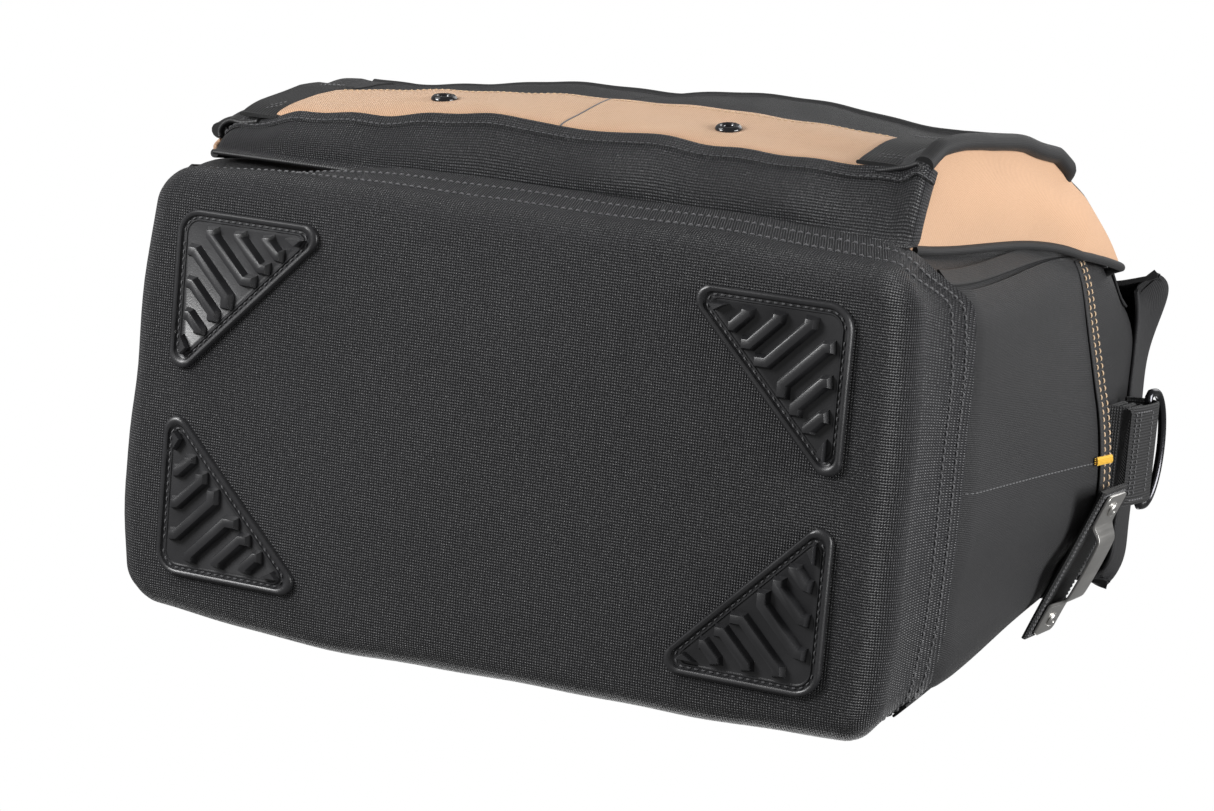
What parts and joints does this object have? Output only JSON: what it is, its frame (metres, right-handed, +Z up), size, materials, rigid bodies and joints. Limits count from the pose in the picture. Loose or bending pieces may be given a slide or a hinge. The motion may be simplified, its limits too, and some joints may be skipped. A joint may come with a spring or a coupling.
{
  "type": "soft work bag",
  "caption": "Soft zip-top work bag with rubber-footed base boot, tan-trimmed front pockets, end pockets, tape clip, strap rings and carry handles.",
  "frame": {"origin": "middle of the object's box in plan, on the surface that the foot lugs rest on", "axes": "+X towards the end with the tape clip, -Y towards the two front pockets, +Z up through the zipped top"},
  "size_m": [0.4642, 0.27, 0.4525],
  "materials": {
    "ballistic_black": "coarse basket weave, coated, slight sheen",
    "poly_black": "fine plain weave, matt",
    "tan_fabric": "twill weave, soft sheen",
    "webbing_black": "ribbed narrow webbing",
    "binding_black": "folded binding tape",
    "grip_fabric": "padded coated fabric",
    "lining": "thin plain lining",
    "foot_rubber": "moulded, satin",
    "base_board": "sheet plastic",
    "clip_steel": "satin plated",
    "frame_steel": "coated wire",
    "eyelet_metal": "gloss black",
    "ring_metal": "black nickel",
    "slider_metal": "black nickel",
    "zipper_plastic": "moulded coil on woven tape",
    "thread_tan": "lock stitch thread",
    "thread_black": "lock stitch thread",
    "thread_yellow": "dense bar tack"
  },
  "bodies": {
    "bag": {"base_panel": "ballistic_black", "boot_wall": "ballistic_black", "base_board": "base_board", "foot_front_right": "foot_rubber", "foot_front_left": "foot_rubber", "foot_back_right": "foot_rubber", "foot_back_left": "foot_rubber", "end_panel_right": "poly_black", "end_panel_left": "poly_black", "front_panel": "poly_black", "back_panel": "poly_black", "inner_pocket": "lining", "pocket_floor": "ballistic_black", "pocket_divider": "lining", "tan_band_right": "tan_fabric", "tan_band_left": "tan_fabric", "strap_right": "webbing_black", "strap_left": "webbing_black", "pocket_face_right": "poly_black", "pocket_face_left": "poly_black", "pocket_corner_right": "ballistic_black", "pocket_corner_left": "ballistic_black", "pocket_gusset_right": "tan_fabric", "pocket_gusset_left": "tan_fabric", "eyelet_right": "eyelet_metal", "eyelet_left": "eyelet_metal", "end_pocket_right": "poly_black", "end_pocket_left": "poly_black", "ring_tab_right": "webbing_black", "ring_tab_left": "webbing_black", "top_end_right": "poly_black", "top_end_left": "poly_black", "zipper_end_right": "zipper_plastic", "zipper_end_left": "zipper_plastic", "clip_webbing": "webbing_black", "tape_clip": "clip_steel", "clip_rivet_front": "clip_steel", "clip_rivet_back": "clip_steel"},
    "flap_front": {"lid_front": "poly_black", "zipper_front": "zipper_plastic", "mouth_frame_front": "frame_steel", "handle_patch_front_right": "webbing_black", "handle_patch_front_left": "webbing_black"},
    "flap_back": {"lid_back": "poly_black", "zipper_back": "zipper_plastic", "mouth_frame_back": "frame_steel", "handle_patch_back_right": "webbing_black", "handle_patch_back_left": "webbing_black"},
    "grab_front": {"handle_front": "webbing_black", "handle_grip_front": "grip_fabric"},
    "grab_back": {"handle_back": "webbing_black", "handle_grip_back": "grip_fabric"},
    "ring_right": {"d_ring_right": "ring_metal"},
    "ring_left": {"d_ring_left": "ring_metal"},
    "slider": {"zipper_slider": "slider_metal"},
    "pull": {"zipper_pull": "slider_metal"}
  },
  "joints": [
    {"name": "flap_front_hinge", "type": "hinge", "parent": "bag", "child": "flap_front", "pos_m": [0, -0.0525, 0.3005], "axis": [1, 0, 0], "range_deg": [0, 110]},
    {"name": "flap_back_hinge", "type": "hinge", "parent": "bag", "child": "flap_back", "pos_m": [0, 0.1005, 0.3005], "axis": [-1, 0, 0], "range_deg": [0, 110]},
    {"name": "handle_front_swing", "type": "hinge", "parent": "flap_front", "child": "grab_front", "pos_m": [0, -0.001, 0.3375], "axis": [1, 0, 0], "range_deg": [0, 80]},
    {"name": "handle_back_swing", "type": "hinge", "parent": "flap_back", "child": "grab_back", "pos_m": [0, 0.049, 0.3375], "axis": [-1, 0, 0], "range_deg": [0, 80]},
    {"name": "ring_right_swing", "type": "hinge", "parent": "bag", "child": "ring_right", "pos_m": [0.21685, 0.024, 0.284], "axis": [0, 1, 0], "range_deg": [-10, 120]},
    {"name": "ring_left_swing", "type": "hinge", "parent": "bag", "child": "ring_left", "pos_m": [-0.22515, 0.024, 0.284], "axis": [0, -1, 0], "range_deg": [-10, 120]},
    {"name": "zip_travel", "type": "slide", "parent": "bag", "child": "slider", "axis": [-1, 0, 0], "range_m": [0, 0.39]},
    {"name": "pull_flip", "type": "hinge", "parent": "slider", "child": "pull", "pos_m": [0.19085, 0.024, 0.34], "axis": [0, 1, 0], "range_deg": [0, 170]}
  ]
}
